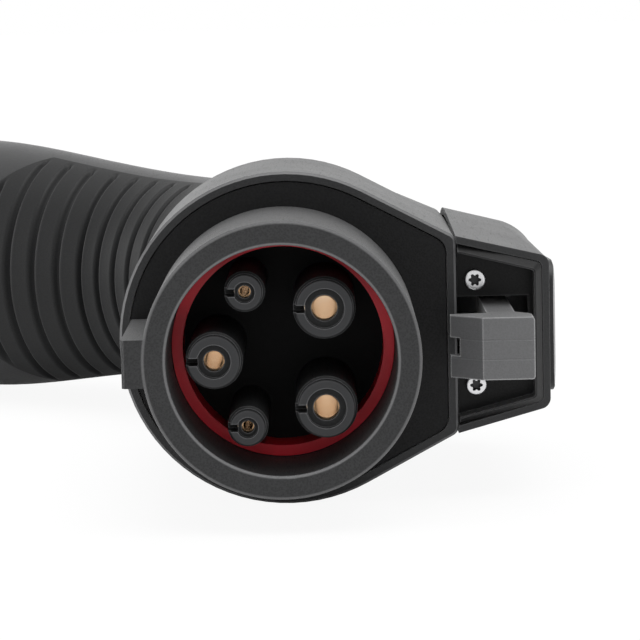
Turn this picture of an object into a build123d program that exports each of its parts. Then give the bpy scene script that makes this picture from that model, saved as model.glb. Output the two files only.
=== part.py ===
# Five-socket vehicle charging connector: a round keyed nose, a latch lever under a hood,
# and a bent handle that ends in a cable gland.
#
# Frame, in millimetres: the origin is the centre of the nose's rim.  +Y runs back into the
# connector, +X is the latch side, and Z is across it.  The connector lies on its -Z side.
from build123d import *
from math import acos, atan2, cos, hypot, radians, sin, tan
import os

# ---------------------------------------------------------------- driving dimensions
# Nose
NOSE_OD = 43.8
NOSE_ID = 36.2
NOSE_LENGTH = 27.0
NOSE_COLLAR = 9.0
RIM_ROUND = 0.5
KEY_WIDTH = 7.6
KEY_HEIGHT = 3.1
KEY_ROOT = 1.0
PLATE_STEP = 0.2
PLATE_THICK = 2.6
PLATE_CORNER = 3.0

# Head, the part of the shell behind the nose
HEAD_MARGIN = 5.7
HEAD_SHIFT = 0.5
FLAT_PROUD = 1.0
HEAD_FLAT_HALF = 16.3
HEAD_CORNER = 1.6
HEAD_STRAIGHT = 35.0
HEAD_SEAT = 60.0
SHELL_WALL = 2.4
RING_WIDTH = 1.5
PLATE_GAP = 0.25
EDGE_BREAK = 0.4

# Handle
NECK_BACK = 53.0
BEND_R = 75.0
BEND_ANGLE = 55.0
GRIP_LENGTH = 75.0
END_WALL = 3.0
PAD_RECESS = 1.2
PAD_PROUD = 0.5
PAD_EDGE_U = 5.0
PAD_START = 20.0
PAD_END = 103.0
PAD_END_LENGTH = 19.0
PAD_END_HALF = 23.5
RIB_PITCH = 6.1
RIB_COUNT = 12
RIB_FIRST = 27.4
RIB_GROOVE = 1.0
RIB_DEPTH = 0.8
POST_R = 4.4
POST_HEAD_DEPTH = 10.0
POST_THREAD = 12.0

# Latch lever
PIVOT_RISE = 5.4
PIVOT_BACK = 23.0
PIVOT_R = 2.0
PIVOT_CLEARANCE = 0.05
PIVOT_BOSS_R = 4.6
PIN_HALF = 12.0
HOOK_FRONT_Y = 9.0
HOOK_HALF = 5.0
HOOK_LOW_X = 26.9
HOOK_FACE_X = 31.8
HOOK_TOP_X = 40.1
HOOK_NOTCH_HALF = 1.45
ARM_HALF = 4.6
ARM_TOP_X = 37.6
ARM_BOTTOM_X = 33.0
SIDE_PLAY = 0.3
PLATFORM_RISE = 14.6
PLATFORM_THICK = 2.4
PLATFORM_END = 17.0
SPRING_BACK = 14.0
SPRING_R = 2.6
SPRING_WIRE = 0.35
SPRING_TURNS = 6
SPRING_PEG_R = 1.9

# Thumb button
BUTTON_HALF = 11.3
BUTTON_BACK = 7.0
BUTTON_LENGTH = 35.0
BUTTON_CORNER = 4.0
BUTTON_TAPER = 2.2
BUTTON_RISE = 17.8
BUTTON_DROP = 1.3
BUTTON_SKIRT = 4.6
BUTTON_CROWN_R = 48.0
BUTTON_WALL = 1.6
BUTTON_GAP = 0.3
BUTTON_REAR_GAP = 2.4
RIDGE_R = 0.7
RIDGE_PITCH = 3.0
RIDGE_COUNT = 4
RIDGE_MARGIN = 3.0

# Hood and tray
HOOD_HEIGHT = 15.4
HOOD_TOP_HALF = 12.5
HOOD_BASE_HALF = 16.4
HOOD_FLARE = 1.2
HOOD_SPREAD = 0.9
HOOD_FULL = 33.0
HOOD_WALL = 1.2
HOOD_CORNER = 1.4
HOOD_REAR_CORNER = 8.5
HOOD_LENGTH = 59.0
HOOD_RAKE = 2.0
HOOD_SCREW_BACK = 52.0
HOOD_SCREW_Z = 9.0
TRAY_GAP = 0.1
TRAY_WALL = 1.3
TRAY_PROUD = 0.5
TRAY_RAKE = 0.2
TRAY_BEVEL = 1.0
TRAY_BEVEL_LENGTH = 1.5
TRAY_BACK = 4.0
TRAY_FLOOR = 2.0
TRAY_SLOT_HALF = 5.9
TRAY_SLOT_RISE = 12.1
TRAY_SCREW_RISE = 3.2
TRAY_SCREW_Z = 8.8
TRAY_BOSS_R = 2.3
TRAY_BOSS = 8.0

# Release switch, beside the lever under the hood
SWITCH_BACK = 7.6
SWITCH_Z = 9.2
SWITCH_HEIGHT = 5.6
SWITCH_HALF = 2.9
SWITCH_LENGTH = 12.8
BOARD_THICK = 1.2
BOARD_LENGTH = 21.8
PLUNGER_RISE = 1.4
PLUNGER_HALF_Y = 1.15
PLUNGER_HALF_Z = 1.45
PLUNGER_PLAY = 0.1
FINGER_HALF = 1.0
FINGER_SHIFT = 0.4
RESISTOR_R = 1.0
RESISTOR_LENGTH = 6.0

# Contact carrier, its towers and the red seal
SEAL_LEAD = 9.0
SEAL_LIP = 1.5
SEAL_WIDTH = 1.7
SEAL_FIT = 0.15
CARRIER_LEAD = 1.5
CARRIER_MARGIN = 2.7
TOWER_SEAT = 1.0
TOWER_SHOULDER = 0.4
TOWER_SHOULDER_Y = 1.6
TOWER_ROUND = 0.3
RETAINER_THICK = 3.0
RETAINER_MARGIN = 0.6
RETAINER_ANGLES = (0, 120, 240)
BOSS_R = 2.4
BOSS_OUT = 0.2

# Contacts: place across X and Z, pin bore, tower, tower front, tube, flange, crimp and its bore
LINE = dict(pin=3.6, tower=9.0, front=1.8, tube=6.2, flange=8.2, crimp=7.0, wire=5.2)
EARTH = dict(pin=2.8, tower=8.2, front=0.9, tube=5.2, flange=7.0, crimp=6.2, wire=4.6)
SIGNAL = dict(pin=1.5, tower=5.6, front=1.8, tube=3.2, flange=4.8, crimp=3.0, wire=1.9)
CONTACTS = {
    "l1": dict(x=6.8, z=7.85, **LINE),
    "n": dict(x=6.8, z=-7.85, **LINE),
    "pe": dict(x=-10.6, z=0.0, **EARTH),
    "cp": dict(x=-5.6, z=10.65, **SIGNAL),
    "pp": dict(x=-5.6, z=-10.65, **SIGNAL),
}
PIN_DEPTH = 21.0
TIP_RECESS = 1.2
TIP_THICK = 1.0
MOUTH_EXTRA = 0.25
NOTCH_WIDTH = 1.2
NOTCH_DEPTH = 4.0
CHAMBER_GAP = 0.1
FLANGE_THICK = 1.6
CRIMP_LENGTH = 9.0
CRIMP_DEPTH = 8.0

# Cable gland
CABLE_BORE = 14.0
GLAND_R = 12.0
GLAND_FLANGE = 2.0
GLAND_FLANGE_THICK = 2.5
GLAND_RUN = 9.0
GLAND_SEAL_WALL = 2.3
GLAND_SEAL_LENGTH = 12.0
GLAND_SEAL_START = -2.0
NUT_R = 15.5
NUT_LENGTH = 17.0
NUT_ROUND = 5.0
NUT_SOCKET = 10.4
NUT_LIP = 1.4
NUT_GAP = 0.1
FLUTE_COUNT = 12
FLUTE_R = 2.4
FLUTE_OUT = 1.6
FLUTE_LENGTH = 11.0

# Fasteners
SCREW_R = 1.25
SCREW_HEAD_R = 3.0
SCREW_HEAD = 2.2
SMALL_SCREW_R = 1.0
SMALL_HEAD_R = 1.75
FIT = 0.05

# ---------------------------------------------------------------- derived places
NOSE_R = NOSE_OD / 2
BORE_R = NOSE_ID / 2
HEAD_R = NOSE_R + HEAD_MARGIN
HEAD_FLAT_X = HEAD_R + FLAT_PROUD
HEAD_Y = NOSE_LENGTH
PLATE_FRONT_Y = HEAD_Y + PLATE_STEP
PLATE_BACK_Y = PLATE_FRONT_Y + PLATE_THICK
COLLAR_END_Y = HEAD_Y + NOSE_COLLAR
SEAT_END_Y = HEAD_Y + HEAD_SEAT
SEAL_FRONT_Y = HEAD_Y - SEAL_LEAD
SEAL_STEP_Y = SEAL_FRONT_Y + SEAL_LIP
SEAL_R = BORE_R - SEAL_FIT - SEAL_WIDTH
CARRIER_FLOOR_Y = HEAD_Y - CARRIER_LEAD
CARRIER_R = NOSE_R - CARRIER_MARGIN
RETAINER_END_Y = COLLAR_END_Y + RETAINER_THICK
BOSS_PLACES = [((NOSE_R + BOSS_OUT) * cos(radians(a)), (NOSE_R + BOSS_OUT) * sin(radians(a)))
               for a in RETAINER_ANGLES]

NECK_Y = HEAD_Y + NECK_BACK
BEND_LENGTH = BEND_R * radians(BEND_ANGLE)
HANDLE_END = BEND_LENGTH + GRIP_LENGTH

PIVOT_X = HEAD_FLAT_X + PIVOT_RISE
PIVOT_Y = HEAD_Y + PIVOT_BACK
PLATFORM_X = HEAD_FLAT_X + PLATFORM_RISE
PLATFORM_UNDER_X = PLATFORM_X - PLATFORM_THICK
SPRING_Y = PIVOT_Y + SPRING_BACK
BUTTON_START = HEAD_Y + BUTTON_BACK
BUTTON_END = BUTTON_START + BUTTON_LENGTH
BUTTON_TOP_X = HEAD_FLAT_X + BUTTON_RISE

HOOD_TOP_X = HEAD_FLAT_X + HOOD_HEIGHT
HOOD_END_Y = HEAD_Y + HOOD_LENGTH
HOOD_SCREW_Y = HEAD_Y + HOOD_SCREW_BACK
TRAY_FRONT_Y = HEAD_Y - TRAY_PROUD
TRAY_FLOOR_Y = HEAD_Y + TRAY_BACK
TRAY_BACK_Y = TRAY_FLOOR_Y + TRAY_FLOOR
TRAY_SCREW_X = HEAD_FLAT_X + TRAY_SCREW_RISE

SWITCH_Y = PIVOT_Y + SWITCH_BACK
SWITCH_X = HEAD_FLAT_X + BOARD_THICK
SWITCH_TOP_X = SWITCH_X + SWITCH_HEIGHT
PLUNGER_X = SWITCH_TOP_X + PLUNGER_RISE

# Half width, finger-side depth and palm-side depth of the handle along its length
HANDLE_FORM = [
    (-22.0, 21.6, 21.0, 21.0),
    (8.0, 20.6, 20.0, 20.0),
    (38.0, 19.8, 18.8, 19.0),
    (64.0, 20.4, 18.8, 18.6),
    (88.0, 23.7, 20.4, 18.6),
    (108.0, 26.0, 21.4, 18.6),
    (126.0, 25.4, 20.6, 18.2),
    (HANDLE_END, 21.5, 18.0, 17.6),
]

# Screw posts that join the shell halves: distance along the handle, offset to its back
POSTS = [(-12.0, 19.0), (-16.0, -19.0), (30.0, 12.8), (66.0, 12.6), (100.0, 12.6), (129.0, -12.0)]

# Outside limits for the blocks that halve and trim the shell
FAR = 300.0
UP = (Align.CENTER, Align.CENTER, Align.MIN)
DOWN = (Align.CENTER, Align.CENTER, Align.MAX)


# ---------------------------------------------------------------- shared helpers
def across(y):
    """A plane across the mating axis at distance y: its x is +X and its y is +Z."""
    return Plane(origin=(0, y, 0), x_dir=(1, 0, 0), z_dir=(0, -1, 0))


def back(y0, y1, profile):
    """The profile, drawn across the mating axis, run from y0 back to y1."""
    return extrude(across(y0) * profile, y1 - y0, dir=(0, 1, 0))


def rod_y(radius, y0, y1, x=0.0, z=0.0):
    """A round rod along Y."""
    return back(y0, y1, Pos(x, z) * Circle(radius))


def rod_x(radius, x0, x1, y, z):
    """A round rod along X."""
    return extrude(Plane.YZ.offset(x0) * Pos(y, z) * Circle(radius), x1 - x0)


def rod_z(radius, z0, z1, x, y):
    """A round rod along Z."""
    return extrude(Plane.XY.offset(z0) * Pos(x, y) * Circle(radius), z1 - z0)


def rod_to_side(radius, side, z0, x, y):
    """A rod along Z from z0 out to one side: +1 or -1."""
    return rod_z(radius, min(side * z0, side * FAR), max(side * z0, side * FAR), x, y)


def bored_ring(outer, inner, y0, y1):
    """A flat ring round the mating axis."""
    return rod_y(outer, y0, y1) - rod_y(inner, y0, y1)


def block(x0, x1, y0, y1, z0, z1):
    """A box between two corners."""
    size = Box(x1 - x0, y1 - y0, z1 - z0)
    return Pos((x0 + x1) / 2, (y0 + y1) / 2, (z0 + z1) / 2) * size


def front_face(part):
    """The face nearest the vehicle."""
    return part.faces().sort_by(Axis.Y)[0]


def top_face(part):
    """The highest face of a piece drawn along Z."""
    return part.faces().sort_by(Axis.Z)[-1]


# ---------------------------------------------------------------- head and handle forms
def head_profile(inset=0.0, shrink=0.0, drop=0.0, narrow=0.0, corner=HEAD_CORNER):
    """The head's D: a circle whose tangents run to the two corners of a flat latch side."""
    radius = HEAD_R - shrink
    flat_x = HEAD_FLAT_X - drop
    half = HEAD_FLAT_HALF - narrow
    lean = atan2(half, flat_x - HEAD_SHIFT) + acos(radius / hypot(flat_x - HEAD_SHIFT, half))
    r = radius - inset
    end_x = flat_x - inset
    end_z = half - inset * tan(lean / 2)
    upper = (HEAD_SHIFT + r * cos(lean), r * sin(lean))
    lower = (upper[0], -upper[1])
    edges = [
        ThreePointArc(upper, (HEAD_SHIFT - r, 0), lower),
        Line(lower, (end_x, -end_z)),
        Line((end_x, -end_z), (end_x, end_z)),
        Line((end_x, end_z), upper),
    ]
    face = make_face(edges)
    return fillet(face.vertices().sort_by(Axis.X)[-2:], corner)


def head_body(inset=0.0):
    """The head's solid form: straight behind the nose, then drawn in to the neck."""
    straight = back(HEAD_Y, HEAD_Y + HEAD_STRAIGHT, head_profile(inset))
    if inset == 0.0:
        straight = chamfer(front_face(straight).edges(), EDGE_BREAK)
    front = across(HEAD_Y + HEAD_STRAIGHT) * head_profile(inset)
    waist = across(SEAT_END_Y) * head_profile(inset, 2.2, 0.0, 0.8)
    shoulder = across(SEAT_END_Y + 9) * head_profile(inset, 5.6, 3.6, 3.4)
    neck = across(SEAT_END_Y + 16) * head_profile(inset, 10.0, 9.0, 7.4)
    return straight + loft([front, waist], ruled=True) + loft([waist, shoulder, neck])


def station(t):
    """The plane across the handle at distance t past the start of its bend; x points to its back."""
    if t < 0:
        return Plane(origin=(0, NECK_Y + t, 0), x_dir=(1, 0, 0), z_dir=(0, 1, 0))
    turn = min(t, BEND_LENGTH) / BEND_R
    run = max(t - BEND_LENGTH, 0.0)
    x = -BEND_R * (1 - cos(turn)) - run * sin(turn)
    y = NECK_Y + BEND_R * sin(turn) + run * cos(turn)
    return Plane(origin=(x, y, 0), x_dir=(cos(turn), sin(turn), 0), z_dir=(-sin(turn), cos(turn), 0))


def handle_section(t, half, front, rear, inset=0.0):
    """Two half ellipses that share their width: the finger side and the palm side."""
    finger = EllipticalCenterArc((0, 0), front - inset, half - inset, 90, arc_size=180)
    palm = EllipticalCenterArc((0, 0), rear - inset, half - inset, -90, arc_size=180)
    return station(t) * make_face([finger, palm])


def handle_body(inset=0.0):
    """The handle's solid form, smaller all round by the inset."""
    return loft([handle_section(t, half, front, rear, inset) for t, half, front, rear in HANDLE_FORM])


def gland_at_end(part):
    """A piece drawn along Z from the handle's end face, set in place."""
    return station(HANDLE_END) * part


# ---------------------------------------------------------------- nose and contacts
def nose_shell():
    """The barrel that goes into the vehicle, its key, the dark face plate and the rear collar."""
    barrel = bored_ring(NOSE_R, BORE_R, 0, PLATE_FRONT_Y)
    barrel = fillet(front_face(barrel).edges(), RIM_ROUND)
    key = block(-NOSE_R - KEY_HEIGHT, -BORE_R - KEY_ROOT, 0, PLATE_FRONT_Y, -KEY_WIDTH / 2, KEY_WIDTH / 2)
    key = chamfer(front_face(key).edges().sort_by(Axis.X)[0], RIM_ROUND)
    plate = back(PLATE_FRONT_Y, PLATE_BACK_Y, head_profile(RING_WIDTH + PLATE_GAP, corner=PLATE_CORNER))
    nose = barrel + key + plate + rod_y(NOSE_R, PLATE_BACK_Y, COLLAR_END_Y)
    for x, z in BOSS_PLACES:
        nose += rod_y(BOSS_R, PLATE_BACK_Y, COLLAR_END_Y, x, z)
    nose -= rod_y(BORE_R, RIM_ROUND, SEAL_STEP_Y)
    nose -= rod_y(CARRIER_R + 2 * FIT, SEAL_STEP_Y, COLLAR_END_Y)
    for x, z in BOSS_PLACES:
        nose -= rod_y(SCREW_R, PLATE_BACK_Y, COLLAR_END_Y, x, z)
    return nose


def seal_ring():
    """The red ring: a lip that shows in the nose and a foot trapped behind the nose's step."""
    lip = bored_ring(BORE_R - SEAL_FIT, SEAL_R, SEAL_FRONT_Y, SEAL_STEP_Y)
    foot = bored_ring(CARRIER_R, SEAL_R, SEAL_STEP_Y, CARRIER_FLOOR_Y)
    return lip + foot


def tower(c):
    """A hollow tower seated in the carrier's floor: a stepped tube, a lip inside, a notch on its key side."""
    end_y = CARRIER_FLOOR_Y + TOWER_SEAT
    lip_y = c["front"] + TIP_RECESS
    tube_r = c["tube"] / 2 + CHAMBER_GAP / 2
    wide_r = c["tower"] / 2 + TOWER_SHOULDER
    spigot = rod_y(c["tower"] / 2, c["front"], end_y)
    spigot = fillet(front_face(spigot).edges(), TOWER_ROUND)
    sleeve = rod_y(wide_r, c["front"] + TOWER_SHOULDER_Y, end_y)
    sleeve = chamfer(front_face(sleeve).edges(), TOWER_SHOULDER - FIT)
    body = spigot + sleeve
    body -= rod_y(tube_r, c["front"], lip_y)
    body -= rod_y(c["pin"] / 2 + MOUTH_EXTRA, lip_y, lip_y + TIP_THICK)
    body -= rod_y(tube_r, lip_y + TIP_THICK, end_y)
    notch_y = c["front"] + NOTCH_DEPTH
    half = NOTCH_WIDTH / 2
    body -= block(-wide_r - 1, CHAMBER_GAP - tube_r, c["front"], notch_y, -half, half)
    return Pos(c["x"], 0, c["z"]) * body


def contact_carrier():
    """The insulating floor: pockets in front for the towers, and seats behind for the contacts."""
    body = rod_y(CARRIER_R, CARRIER_FLOOR_Y, COLLAR_END_Y)
    for c in CONTACTS.values():
        pocket_r = c["tower"] / 2 + TOWER_SHOULDER + FIT
        body -= rod_y(pocket_r, CARRIER_FLOOR_Y, CARRIER_FLOOR_Y + TOWER_SEAT, c["x"], c["z"])
        body -= rod_y(c["tube"] / 2 + FIT, CARRIER_FLOOR_Y, COLLAR_END_Y, c["x"], c["z"])
        seat_r = c["flange"] / 2 + CHAMBER_GAP
        body -= rod_y(seat_r, COLLAR_END_Y - FLANGE_THICK, COLLAR_END_Y, c["x"], c["z"])
    return body


def contact(c):
    """A turned socket: a bored tube, a flange that the retainer traps, and a crimp barrel."""
    mouth_y = c["front"] + TIP_RECESS + TIP_THICK
    rear_y = RETAINER_END_Y + CRIMP_LENGTH
    pin_r = c["pin"] / 2
    body = rod_y(c["tube"] / 2, mouth_y, COLLAR_END_Y)
    body += rod_y(c["flange"] / 2, COLLAR_END_Y - FLANGE_THICK, COLLAR_END_Y)
    body += rod_y(c["crimp"] / 2, COLLAR_END_Y, rear_y)
    body -= rod_y(pin_r, mouth_y, mouth_y + PIN_DEPTH)
    cone = Cone(pin_r + MOUTH_EXTRA, pin_r, MOUTH_EXTRA, align=UP)
    body -= Plane(origin=(0, mouth_y, 0), z_dir=(0, 1, 0)) * cone
    body -= rod_y(c["wire"] / 2, rear_y - CRIMP_DEPTH, rear_y)
    return Pos(c["x"], 0, c["z"]) * body


def contact_retainer():
    """The plate behind the carrier that traps the contacts; three ears take its screws."""
    plate = rod_y(NOSE_R - RETAINER_MARGIN, COLLAR_END_Y, RETAINER_END_Y)
    for x, z in BOSS_PLACES:
        plate += rod_y(BOSS_R, COLLAR_END_Y, RETAINER_END_Y, x, z)
    for c in CONTACTS.values():
        hole_r = c["crimp"] / 2 + CHAMBER_GAP
        plate -= rod_y(hole_r, COLLAR_END_Y, RETAINER_END_Y, c["x"], c["z"])
    for x, z in BOSS_PLACES:
        plate -= rod_y(SCREW_R + FIT, COLLAR_END_Y, RETAINER_END_Y, x, z)
    return plate


def pan_screw(length, head_r=SCREW_HEAD_R, shank_r=SCREW_R - FIT):
    """A screw along Z: the shank runs down from the origin and the domed head stands on it."""
    head = Cylinder(head_r, SCREW_HEAD, align=UP)
    head = fillet(top_face(head).edges(), SCREW_HEAD * 0.6)
    socket = Pos(0, 0, SCREW_HEAD) * Cylinder(head_r * 0.42, SCREW_HEAD)
    return head + Cylinder(shank_r, length, align=DOWN) - socket


def retainer_screws():
    """Three screws that hold the retainer on the nose's bosses."""
    length = COLLAR_END_Y - PLATE_BACK_Y + RETAINER_THICK - 2 * FIT
    screws = []
    for x, z in BOSS_PLACES:
        seat = Plane(origin=(x, RETAINER_END_Y, z), z_dir=(0, 1, 0))
        screws.append(seat * pan_screw(length, head_r=BOSS_R - 4 * FIT))
    return Compound(children=screws)


# ---------------------------------------------------------------- shell, grip and gland
def post_place(t, u):
    """Where a screw post stands, as X and Y."""
    plane = station(t)
    spot = plane.origin + plane.x_dir * u
    return spot.X, spot.Y


def pad_mask():
    """The finger side of the handle from behind the head to a rounded end."""
    reach = 40.0
    wide = 30.0
    strip = Pos(-PAD_EDGE_U - reach / 2, 0) * Rectangle(reach, 2 * wide)
    axis = Axis((-BEND_R, NECK_Y, 0), (0, 0, 1))
    start = station(PAD_START) * strip
    bend = revolve(start, axis, BEND_ANGLE - PAD_START / BEND_LENGTH * BEND_ANGLE)
    run = PAD_END - PAD_END_LENGTH - BEND_LENGTH
    plane = station(BEND_LENGTH)
    narrow = Pos(-PAD_EDGE_U - reach / 2, 0) * Rectangle(reach, 2 * PAD_END_HALF)
    straight = extrude(plane * narrow, run)
    side = Plane(origin=station(BEND_LENGTH + run).origin, x_dir=plane.z_dir, z_dir=plane.x_dir)
    tip = extrude(side * Ellipse(PAD_END_LENGTH, PAD_END_HALF), -PAD_EDGE_U - reach)
    tip -= extrude(side * Rectangle(4 * PAD_END_LENGTH, 2 * wide), -PAD_EDGE_U)
    return bend + straight + tip


def pad_skin(over, under):
    """The layer between two offsets of the handle's surface."""
    return handle_body(-over) - handle_body(under)


def grip_pad(mask):
    """The soft ribbed pad, set into the finger side of both shell halves."""
    pad = pad_skin(PAD_PROUD, PAD_RECESS) & mask
    groove_ring = pad_skin(2 * PAD_PROUD, RIB_DEPTH - PAD_PROUD)
    for i in range(RIB_COUNT):
        plane = station(RIB_FIRST + i * RIB_PITCH)
        slab = extrude(plane * Rectangle(4 * HEAD_R, 4 * HEAD_R), RIB_GROOVE / 2, both=True)
        pad -= groove_ring & slab
    return pad


def shell_whole(mask):
    """Both shell halves in one: a walled form with screw posts and every opening."""
    outer = head_body() + handle_body()
    inner = head_body(SHELL_WALL) + handle_body(SHELL_WALL)
    end_slab = gland_at_end(Pos(0, 0, -END_WALL / 2) * Box(4 * HEAD_R, 4 * HEAD_R, END_WALL))
    shell = outer - (inner - end_slab)
    posts = Part()
    for t, u in POSTS:
        x, y = post_place(t, u)
        posts += rod_z(POST_R, -FAR, FAR, x, y)
    shell += posts & outer
    shell -= back(HEAD_Y, PLATE_BACK_Y, head_profile(RING_WIDTH, corner=PLATE_CORNER))
    shell -= pad_skin(4 * PAD_PROUD, PAD_RECESS) & mask
    shell -= gland_at_end(Cylinder(GLAND_R + FIT, 3 * END_WALL))
    inside_x = HEAD_FLAT_X - 2 * SHELL_WALL
    wire_y = HOOD_SCREW_Y - 7
    wire_way = block(inside_x, HEAD_FLAT_X + 1, wire_y - 3, wire_y + 3, SWITCH_Z - 3, SWITCH_Z + 4)
    shell -= wire_way
    for z in (-HOOD_SCREW_Z, HOOD_SCREW_Z):
        shell -= rod_x(SCREW_R + FIT, inside_x, HEAD_FLAT_X + 1, HOOD_SCREW_Y, z)
    return shell


def shell_right(whole):
    """The upper half, with pilot holes for the shell screws."""
    half = whole & block(-FAR, FAR, 0, FAR, 0, FAR)
    for t, u in POSTS:
        x, y = post_place(t, u)
        half -= rod_z(SCREW_R, 0, POST_THREAD, x, y)
    return half


def shell_left(whole):
    """The lower half, on which the connector lies, with sunk holes for the shell screws."""
    half = whole & block(-FAR, FAR, 0, FAR, -FAR, 0)
    for t, u in POSTS:
        x, y = post_place(t, u)
        half -= rod_z(SCREW_R + FIT, -POST_HEAD_DEPTH, 0, x, y)
        half -= rod_z(SCREW_HEAD_R + FIT, -FAR, -POST_HEAD_DEPTH, x, y)
    return half


def shell_screws():
    """Screws that pull the two halves together, sunk into the lower one."""
    screws = []
    for t, u in POSTS:
        x, y = post_place(t, u)
        screw = pan_screw(POST_HEAD_DEPTH + POST_THREAD - 2)
        screws.append(Pos(x, y, -POST_HEAD_DEPTH) * Rot(180, 0, 0) * screw)
    return Compound(children=screws)


def gland_body():
    """The gland's threaded sleeve, with a flange inside the handle's end wall."""
    flange_z = -END_WALL - GLAND_FLANGE_THICK
    flange = Pos(0, 0, flange_z) * Cylinder(GLAND_R + GLAND_FLANGE, GLAND_FLANGE_THICK, align=UP)
    sleeve = Pos(0, 0, -END_WALL) * Cylinder(GLAND_R, END_WALL + GLAND_RUN, align=UP)
    bore = Cylinder(CABLE_BORE / 2 + GLAND_SEAL_WALL + 2 * FIT, FAR)
    return gland_at_end(flange + sleeve - bore)


def gland_seal():
    """The rubber ring inside the gland that closes on the cable."""
    ring_r = CABLE_BORE / 2 + GLAND_SEAL_WALL
    ring = Pos(0, 0, GLAND_SEAL_START) * Cylinder(ring_r, GLAND_SEAL_LENGTH, align=UP)
    return gland_at_end(ring - Cylinder(CABLE_BORE / 2, FAR))


def gland_nut():
    """The gland's domed nut, fluted for the fingers."""
    nut = Cylinder(NUT_R, NUT_LENGTH, align=UP)
    nut = fillet(top_face(nut).edges(), NUT_ROUND)
    flute = Pos(NUT_R + FLUTE_OUT, 0, 0) * Cylinder(FLUTE_R, FLUTE_LENGTH, align=UP)
    for i in range(FLUTE_COUNT):
        nut -= Rot(0, 0, i * 360 / FLUTE_COUNT) * flute
    nut -= Cylinder(GLAND_R + FIT, NUT_SOCKET, align=UP)
    nut -= Cylinder(CABLE_BORE / 2 + NUT_LIP, NUT_LENGTH, align=UP)
    return gland_at_end(Pos(0, 0, NUT_GAP) * nut)


# ---------------------------------------------------------------- hood and tray
def button_column(trim, rear=0.0):
    """The button's plan, narrower at the back and round at its corners, run outward in X."""
    start = BUTTON_START + trim
    end = BUTTON_END - trim + rear
    front_half = BUTTON_HALF - trim
    rear_half = front_half - BUTTON_TAPER
    corners = [(start, front_half), (end, rear_half), (end, -rear_half), (start, -front_half)]
    plan = make_face(Polyline(*corners, close=True))
    plan = fillet(plan.vertices(), BUTTON_CORNER - trim)
    return extrude(Plane.YZ * plan, FAR)


def hood_profile(grow_x, grow_z, corner, inset=0.0, floor=0.0):
    """The hood's section: a trapezium on the head's flat side, with round outer corners."""
    lean = atan2(HOOD_BASE_HALF - HOOD_TOP_HALF, HOOD_HEIGHT)
    top = HOOD_TOP_X + grow_x - inset
    base = HEAD_FLAT_X - floor
    half_base = HOOD_BASE_HALF + grow_z - inset / cos(lean) + floor * tan(lean)
    half_top = half_base - (top - base) * tan(lean)
    outline = Polyline((base, half_base), (top, half_top), (top, -half_top), (base, -half_base), close=True)
    face = make_face(outline)
    return fillet(face.vertices().sort_by(Axis.X)[-2:], corner)


def hood_form(inset=0.0, floor=0.0):
    """The hood's solid form: flared as it goes back, then brought down to the head."""
    small = HOOD_CORNER - inset / 2
    large = HOOD_REAR_CORNER - inset
    end_y = HOOD_END_Y - inset
    front = across(HEAD_Y) * hood_profile(0, 0, small, inset, floor)
    full = across(HEAD_Y + HOOD_FULL) * hood_profile(HOOD_FLARE, HOOD_SPREAD, large, inset, floor)
    rear = [full]
    for back_y, drop, draw in ((14, 0.2, 0.0), (7, 2.6, 0.6), (2, 8.0, 1.6), (0, 13.0, 2.4)):
        section = hood_profile(HOOD_FLARE - drop, HOOD_SPREAD - draw, large * 0.55 ** (drop / 8), inset, floor)
        rear.append(across(end_y - back_y) * section)
    return loft([front, full], ruled=True) + loft(rear)


def rake_cut():
    """The wedge in front of the hood's face, which leans back from the head's flat side."""
    slope = HOOD_RAKE / HOOD_HEIGHT
    low_x = HEAD_FLAT_X - 1
    high_x = HEAD_FLAT_X + 2 * HOOD_HEIGHT
    outline = Polyline((low_x, HEAD_Y - slope), (high_x, HEAD_Y + 2 * HOOD_RAKE), (high_x, 0), (low_x, 0),
                       close=True)
    return extrude(make_face(outline), 2 * HEAD_R, both=True)


def latch_hood():
    """The hood over the latch: open in front for the tray and on top for the thumb button."""
    hood = hood_form() - hood_form(HOOD_WALL, 1.0)
    mouth = Pos(HEAD_FLAT_X + HOOD_HEIGHT / 2, 0) * Rectangle(HOOD_HEIGHT - 4, 2 * HOOD_TOP_HALF - 4)
    hood -= back(HEAD_Y - 2, HEAD_Y + 2, mouth)
    hood -= rake_cut()
    inner = hood_form(HOOD_WALL / 2)
    boss_end_y = TRAY_BACK_Y + TRAY_BOSS
    for side in (-1, 1):
        pivot = rod_to_side(PIVOT_BOSS_R - 0.6, side, ARM_HALF + SIDE_PLAY, PIVOT_X, PIVOT_Y)
        boss = rod_y(TRAY_BOSS_R, TRAY_BACK_Y, boss_end_y, TRAY_SCREW_X, side * TRAY_SCREW_Z)
        low_z = min(side * TRAY_SCREW_Z, side * HEAD_R)
        high_z = max(side * TRAY_SCREW_Z, side * HEAD_R)
        web = block(TRAY_SCREW_X - 1, TRAY_SCREW_X + 1, TRAY_BACK_Y, boss_end_y, low_z, high_z)
        column = rod_x(2 * SCREW_R, HEAD_FLAT_X, HEAD_FLAT_X + FAR, HOOD_SCREW_Y, side * HOOD_SCREW_Z)
        hood += (pivot + boss + web + column) & inner
    hood -= rod_z(PIVOT_R + FIT / 5, -PIN_HALF, PIN_HALF, PIVOT_X, PIVOT_Y)
    for side in (-1, 1):
        hood -= rod_y(SMALL_SCREW_R, TRAY_BACK_Y, boss_end_y - 1, TRAY_SCREW_X, side * TRAY_SCREW_Z)
        hood -= rod_x(SCREW_R, HEAD_FLAT_X, HEAD_FLAT_X + 2 * SHELL_WALL, HOOD_SCREW_Y, side * HOOD_SCREW_Z)
    top_only = block(HOOD_TOP_X - 3, FAR, HEAD_Y, HOOD_END_Y, -HEAD_R, HEAD_R)
    hood -= button_column(-BUTTON_GAP, BUTTON_REAR_GAP) & top_only
    return hood


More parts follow.
